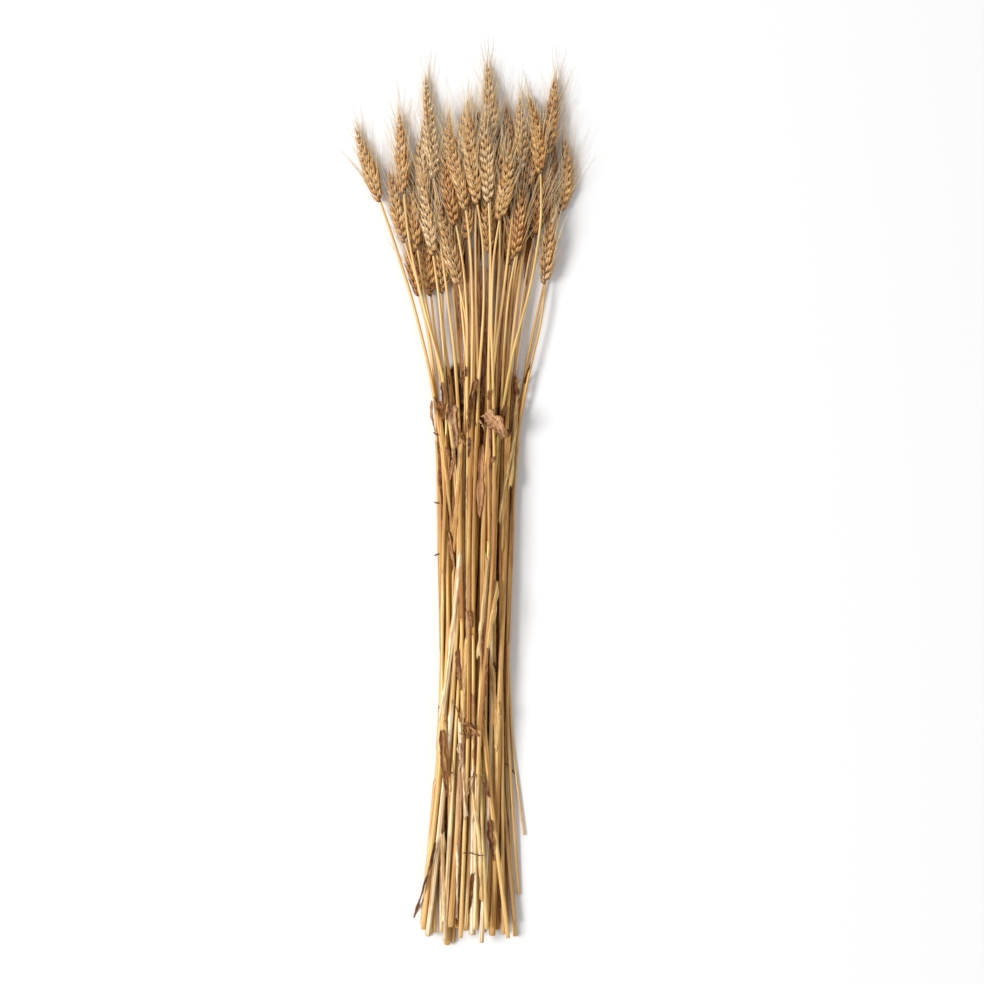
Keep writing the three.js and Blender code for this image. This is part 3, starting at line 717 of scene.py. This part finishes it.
alone()
bpy.ops.mesh.primitive_cone_add(vertices=3, radius1=1, radius2=0.4, depth=1, rotation=(-math.pi / 2, 0, 0))
bpy.ops.object.transform_apply(location=False, rotation=True, scale=False)
awn = bpy.context.object
bpy.ops.object.mode_set(mode="EDIT")
bpy.ops.mesh.select_all(action="SELECT")
bpy.ops.transform.translate(value=(0, 0.5, 0))
for height in (0.2, 0.4, 0.6, 0.8):
    bpy.ops.mesh.select_all(action="SELECT")
    bpy.ops.mesh.bisect(plane_co=(0, height, 0), plane_no=(0, 1, 0))
awn_places, awn_faces = taken(awn)


def grow_awns(grown, line, tips, offset, tint, longest, absent, draws):
    """Awns up to the longest length on the husks' points, but for the absent share of them."""
    ahead = on_line(line, line["neck"])[1][0]
    share = awn_places[:, 1]
    angle = np.arctan2(awn_places[:, 0], awn_places[:, 2])
    for root, along, climb in tips:
        if draws.random() < absent:
            continue
        length = longest * (1 - AWN_LOSS * climb) * draws.uniform(0.7, 1.08)
        if draws.random() < SNAPPED:
            length *= draws.uniform(0.2, 0.6)
        way = unit(ahead * 0.6 + along * 0.4 + np.array([draws.gauss(0, 0.1) for _ in range(3)]))
        bow = along - way * along.dot(way)
        thick = AWN_ROOT + (AWN_POINT - AWN_ROOT) * share
        side = unit(np.cross(way, (0.0, 0.0, 1.0)))
        over = np.cross(side, way)
        path = root + way * (length * share)[:, None] + bow * (length * 0.45 * share**2)[:, None]
        path[:, 2] = path[:, 2].clip(0.5 * MM, HIGHEST - 0.3 * MM)
        places = path + side * (np.sin(angle) * thick)[:, None] + over * (np.cos(angle) * thick)[:, None]
        grain = np.stack([np.full(len(share), offset), share * length, np.zeros(len(share))], axis=1)
        grown.add(places, awn_faces, AWN, grain, tint, share)


# Awns: stiff bristles of the same chaff, straw-coloured at the root and cream at the point.
AWN_TINTS = ((0.0, "DEB276"), (0.5, "EACE9C"), (1.0, "F8EEDC"))

awn_finish, tree, shader, grain, tint, tone = new_finish("stiff_pale_awn")
feed(shader, {
    "Base Color": add_node(tree, "ShaderNodeValToRGB", {"Fac": tone}, "Color", AWN_TINTS),
    "Roughness": 0.45,
})

# ---- The stalks ----
# Each stalk is put together from its own culm, sheaths, torn blades, ear and awns, as it grew. Those
# at the bottom of the bundle are tinted browner and those on top paler, as painted shade for the
# stalks lying under the others, and some ears are set paler or browner than others.
# Of each listed ear, how much paler (more) or browner (less) its tint is set than the rest.
EAR_SHADES = {
    "stalk_22": 0.4, "stalk_24": 0.2, "stalk_25": 0.3, "stalk_26": 0.3, "stalk_28": -0.4, "stalk_36": 0.2,
    "stalk_37": -0.3, "stalk_38": -0.3, "stalk_39": -0.3, "stalk_40": -0.2, "stalk_42": 0.5,
}
BED_HEIGHT = 5 * MM  # the stalks that lie lower than this are the bottom ones
BED_DEPTH = 9 * MM  # and those this much higher are the top ones
COLLARS = ((26, 84), (-228, -150))  # where the upper and the lower sheath end, in millimetres along Y
BLADE_ODDS = (0.9, 0.4)  # of a torn blade at each

finishes = (straw_finish, sheath_finish, husk_finish, awn_finish, leaf_finish)
bristle_draws = random.Random(57)

for name in stalk_names:
    line = lines[name]
    line["foot"] = THIN_FOOT.get(name, 1)
    line["slim"] = draws.uniform(0.84, 1)
    line["flat"] = draws.uniform(-0.02, 0.08)
    # Painted shade: upper runs from 0 for the bottom stalks to 1 for the top ones, and the lower a stalk
    # lies, the browner the tints of its straw, sheaths, blades and ear.
    upper = min(1, max(0, (line["height"] - BED_HEIGHT) / BED_DEPTH))
    offset = draws.uniform(-1, 1)
    tint = draws.uniform(0.02, 0.5) + upper * draws.uniform(0.25, 0.5)
    sheath_tint = draws.uniform(0.05, 0.5) + upper * draws.uniform(0.05, 0.3)
    grown = Grown()
    grow_culm(grown, line, offset, tint)
    collars = [
        float(np.interp(draws.uniform(low, high) * MM, line["middles"][:, 1], line["run"]))
        for low, high in COLLARS
    ]
    # The upper sheath runs from the joint to its collar, the lower one from the cut end to its own.
    if line["joint"] < collars[0] - 40 * MM and draws.random() < 0.7:
        grow_sheath(grown, line, line["joint"] + 1 * MM, collars[0], offset, sheath_tint)
    if line["foot"] == 1 and draws.random() < 0.75:
        grow_sheath(grown, line, 0.6 * MM, collars[1], offset + 0.4, draws.uniform(0.05, 0.75) + 0.3 * upper)
    # Torn blades stand at the collars that lie open.
    for root, odds in zip(collars, BLADE_ODDS):
        if draws.random() < odds and not covered(on_line(line, root)[0][0], line):
            grow_torn_blade(grown, line, root, draws.uniform(7, 24) * MM, draws.uniform(1.6, 4) * MM, offset,
                            draws.uniform(0.1, 0.9))
    # Narrow blades lie along the straw, most of them on the bottom stalks.
    for _ in range(3 if upper < 0.5 else 1):
        high = float(np.interp(draws.uniform(-200, 100) * MM, line["middles"][:, 1], line["run"]))
        if line["foot"] == 1 and high > 70 * MM:
            low = high - draws.uniform(50, 130) * MM
            grow_lying_blade(grown, line, low, high, draws.uniform(2.4, 5) * MM, offset,
                             draws.uniform(0.15, 0.6) + 0.3 * upper)
    # Painted shade again: the lower an ear lies under the others, the browner it is.
    ear_tint = 0.32 + 0.34 * upper + draws.uniform(-0.24, 0.24) + EAR_SHADES.get(name, 0)
    tips = grow_ear(grown, line, offset, ear_tint)
    grow_awns(grown, line, tips, offset, ear_tint, AWN_LENGTH, AWNLESS, draws)
    grow_awns(grown, line, tips, offset, ear_tint, BRISTLE_LENGTH, BRISTLELESS, bristle_draws)
    grown.piece(name.replace("stalk", "wheat_stalk"), "straw", [name])

# ---- Leaf scraps ----
# Larger pieces of dead leaf, dry and brittle, that have broken off and lie on the stalks. Each keeps
# to the middle line of its solid.
SPINE_POINTS = 12
UPWARDS = np.array((0, 0, 1))  # the way the edges of a lying blade roll
# Of each: width in millimetres, how far its edges roll in, twist, crumpling in millimetres and tint.
SCRAPS = {
    "leaf_01": (4.4, 1.1, 0.7, 0.6, 0.5),
    "leaf_02": (6.8, 0.9, 0.4, 0.7, 0.85),
    "leaf_03": (6.6, 1.3, 1.8, 0.9, 0.42),
    "leaf_04": (11.5, 0.6, -0.3, 1.1, 0.8),
    "leaf_05": (4.2, 1.2, 1.5, 0.6, 0.5),
    "leaf_06": (3.2, 1.4, -2.0, 0.6, 0.62),
    "leaf_07": (5.8, 1.1, 0.5, 1.1, 0.5),
    "leaf_08": (5.5, 1.9, 3.0, 0.9, 0.6),
    "leaf_09": (4.8, 1.5, 3.2, 0.6, 0.22),
    "leaf_10": (5.4, 1.0, 0.8, 0.6, 0.3),
    "leaf_11": (1.9, 2.2, 5.0, 0.4, 0.2),
}


def spine(solid):
    """Middle points along a blade's solid, from its upper end to its lower."""
    places = np.array([vertex.co for vertex in solid.data.vertices])
    flat = places[:, :2] - places[:, :2].mean(axis=0)
    long_way = np.linalg.svd(flat, full_matrices=False)[2][0]
    along = flat @ (long_way if long_way[1] < 0 else -long_way)
    groups = np.array_split(np.argsort(along), SPINE_POINTS)
    points = np.array([(places[g].min(axis=0) + places[g].max(axis=0)) / 2 for g in groups])
    points[1:-1] = (points[:-2] + 2 * points[1:-1] + points[2:]) / 4
    return points


for name, (width, roll, twist, crumple, tint) in SCRAPS.items():
    grown = Grown()
    path = spine(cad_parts[name])
    grow_ribbon(grown, path, UPWARDS, width * MM, roll, twist, crumple * MM, draws.uniform(-1, 1), tint)
    grown.piece(name.replace("leaf", "leaf_scrap"), "dried_leaf", [name])

# ---- Shreds ----
# Small torn bits of dry leaf caught on top of the stalks or sticking out at their edge, and paler
# sheaths that have split off whole. They rest on the straw under them.

# Of each: place (x, y) in millimetres, heading in degrees from the ears' end, length, width and tint.
SHREDS = (
    (-3.6, -184, 175, 22, 4.0, 1.0),
    (-11.7, -28, 170, 34, 3.2, 0.62),
    (-18.5, 41, 300, 5, 1.8, 0.3),
    (-17.8, -9, 282, 4.5, 1.6, 0.3),
    (-18.2, -46, 250, 4, 1.6, 0.3),
    (-6.6, 29, 190, 22, 3.6, 0.8),
    (10.5, 84, 197, 30, 3.2, 0.2),
    (13.4, 38, 182, 60, 7.0, 0.66),
    (3.8, 40, 179, 16, 2.4, 0.15),
    (6.8, -279, 187, 34, 4.2, 0.25),
    (-5.1, -114, 176, 34, 3.8, 0.3),
    (3.8, -87, 172, 14, 3.4, 0.4),
    (22.3, -125, 175, 9, 2.4, 0.1),
    (31.2, 64, 200, 14, 3.2, 0.3),
    (-17.2, 63, 320, 9, 2.0, 0.15),
    (-10.3, 66, 190, 15, 2.2, 0.15),
    (-16.9, 67, 178, 17, 5.5, 0.62),
    (-1.4, -171, 152, 14, 1.2, 0.55),
    (4.5, -174, 205, 12, 1.0, 0.6),
    (-16.9, -174, 178, 30, 3.0, 0.5),
    (-4.3, -177, 115, 9, 0.9, 0.65),
    (0.5, -182, 60, 8, 0.9, 0.6),
)
SPLIT_SHEATHS = (
    (-2.5, -40, 184.8, 136, 6.4, 0.92),
    (17.9, -44, 184.3, 82, 4.6, 0.78),
    (25.3, -62, 188, 58, 5.2, 0.68),
    (3.1, -102, 185, 68, 4.2, 0.6),
    (-0.6, 48, 183, 98, 3.6, 0.36),
    (34.5, 50, 185.5, 100, 4.0, 0.45),
    (-17.5, 64, 175.5, 104, 3.4, 0.42),
    (20, -120, 176, 74, 5.0, 0.6),
    (-15.5, -245, 181, 76, 5.6, 0.85),
    (-5.0, -256, 179, 62, 3.4, 1.0),
    (6, -215, 172, 92, 4.4, 0.75),
    (-3, -160, 179, 84, 4.2, 0.9),
    (-14, -165, 178, 60, 4.0, 0.5),
    (40.2, 90, 183.2, 92, 5.6, 0.6),
    (39.5, 60, 188.2, 92, 3.6, 0.72),
    (-1.5, 40, 185.0, 74, 3.4, 0.62),
)
SHRED_STEPS = 16
SHRED_GAP = 0.3 * MM  # between a shred's middle line and the straw under it
STIFF = 0.2  # the steepest that a shred rises or falls between the stalks that carry it


def top_at(x, y, reach):
    """Height of the topmost sheathed straw over a place on the table, or within reach to its sides."""
    top = 0
    for line in lines.values():
        across, along, height = line["middles"].T
        if along[0] < y < along[-1]:
            radius = np.interp(y, along, line["radius"])
            aside = max(0, abs(np.interp(y, along, across) - x) - reach)
            if aside < radius:
                top = max(top, np.interp(y, along, height) + math.sqrt(radius**2 - aside**2))
    return top


def lying_path(x, y, heading, length, width):
    """A path that starts at a place, wanders a little and rests on what lies under it."""
    step = length / SHRED_STEPS * MM
    way = np.array((math.sin(math.radians(heading)), math.cos(math.radians(heading))))
    place, path = np.array((x, y)) * MM, []
    for _ in range(SHRED_STEPS + 1):
        path.append((*place, top_at(*place, 0.3 * width * MM) + SHRED_GAP))
        place = place + way * step
        way = unit(way + draws.gauss(0, 0.01) * np.array((way[1], -way[0])))
    path = np.array(path)
    apart = np.abs(np.subtract.outer(np.arange(len(path)), np.arange(len(path)))) * STIFF * step
    path[:, 2] = (path[:, 2] - apart).max(axis=1)
    return path


for number, (x, y, heading, length, width, tint) in enumerate(SHREDS, 1):
    grown = Grown()
    grow_ribbon(grown, lying_path(x, y, heading, length, width), UPWARDS, width * MM,
                draws.uniform(0.4, 1.1), draws.uniform(-0.9, 0.9), 0.6 * MM, draws.uniform(-1, 1), tint)
    grown.piece(f"leaf_shred_{number:02d}", "dried_leaf")

for number, (x, y, heading, length, width, tint) in enumerate(SPLIT_SHEATHS, 1):
    grown = Grown()
    grow_ribbon(grown, lying_path(x, y, heading, length, width), -UPWARDS, width * MM,
                draws.uniform(1.0, 1.5), draws.uniform(-0.4, 0.4), 0.5 * MM, draws.uniform(-1, 1), tint,
                SHEATH, BLUNT)
    grown.piece(f"split_sheath_{number:02d}", "straw")

# ---- Inner blades ----
# Broad brown blades laid in with the stalks, between the bottom stalks and those above, and the
# first run low under the ears. They are partly leaf matter and partly painted shade: their dark
# tints fill the gaps with a deep brown bed where shade falls between the stalks and under the ears.

# Each run has its upper and lower end in millimetres, its left and right edge as shares of the
# bundle's width there, the blades' height over the table and width in millimetres, and their tint.
INNER_RUNS = (
    (242, 150, 0.2, 0.86, 1.6, 7, 0.3),
    (180, 35, 0.34, 0.74, 4.2, 3.8, 0.72),
    (95, -30, 0.16, 0.8, 4.2, 8, 0.16),
    (20, -110, 0.08, 0.9, 4.2, 8, 0.16),
    (-70, -200, 0.06, 0.9, 4.2, 8, 0.32),
    (-160, -305, 0.1, 0.78, 4.2, 8, 0.34),
)
INNER_PER_RUN = 9

grown = Grown()
for high, low, left, right, height, width, tint in INNER_RUNS:
    for k in range(INNER_PER_RUN):
        share = left + (right - left) * k / (INNER_PER_RUN - 1)
        y = np.linspace(high + draws.uniform(-15, 15), low + draws.uniform(-15, 15), BLADE_STEPS) * MM
        path = np.stack([0 * y, y, (height + 0.8 * np.sin(y * 70 + 2 * k)) * MM], axis=1)
        leftmost, rightmost = edges(path)
        path[:, 0] = leftmost + (rightmost - leftmost) * share + 1.2 * MM * np.sin(y * 50 + k)
        grow_ribbon(grown, path, UPWARDS, width * draws.uniform(0.85, 1.25) * MM,
                    draws.uniform(0.3, 0.7), draws.uniform(-0.4, 0.4), 1.2 * MM, draws.uniform(-1, 1),
                    tint + draws.uniform(-0.18, 0.18))
grown.piece("inner_blades_painted_shade", "dried_leaf")

# ---- Table, light and camera ----
# A plain white table top in a pale room, under one broad round lamp that stands high and far off to
# the left. The picture is 728 mm wide on the table, and its middle lies right of the bundle's.
PICTURE_WIDTH = 0.72816
CAMERA_PLACE = (0.0208, -0.0005, 2.4)
LAMP_PLACE = (-3.35, -0.3, 3.6)
LAMP_AIM = (0.02, 0, 0)
LAMP_WIDTH = 2.1
LAMP_WATTS = 232
LAMP_COLOUR = (1.0, 0.99, 0.975)
ROOM_STRENGTH = 0.54
TABLE_SIZE = 12

alone()
bpy.ops.mesh.primitive_plane_add(size=TABLE_SIZE, location=(0, 0, 0))
table = bpy.context.object
table.name = "table_top"
table_finish = bpy.data.materials.new("matte_white_paint")
table_finish.use_nodes = True
shader = table_finish.node_tree.nodes["Principled BSDF"]
feed(shader, {"Base Color": linear("F0F1F3"), "Roughness": 0.9, "Specular IOR Level": 0.1})
table.data.materials.append(table_finish)

world = bpy.data.worlds.new("pale_room")
world.use_nodes = True
feed(world.node_tree.nodes["Background"], {"Color": (*LAMP_COLOUR, 1), "Strength": ROOM_STRENGTH})
bpy.context.scene.world = world

lamp_data = bpy.data.lights.new("broad_lamp", "AREA")
lamp_data.shape = "DISK"
lamp_data.size = LAMP_WIDTH
lamp_data.energy = LAMP_WATTS
lamp_data.color = LAMP_COLOUR
lamp = bpy.data.objects.new("broad_lamp", lamp_data)
lamp.location = LAMP_PLACE
lamp.rotation_euler = (Vector(LAMP_AIM) - lamp.location).to_track_quat("-Z", "Y").to_euler()
bpy.context.scene.collection.objects.link(lamp)

camera_data = bpy.data.cameras.new("camera")
camera_data.sensor_fit = "HORIZONTAL"
camera_data.angle = 2 * math.atan(PICTURE_WIDTH / 2 / CAMERA_PLACE[2])
camera = bpy.data.objects.new("camera", camera_data)
camera.location = CAMERA_PLACE
bpy.context.scene.collection.objects.link(camera)
bpy.context.scene.camera = camera
bpy.context.scene.view_settings.view_transform = "Standard"
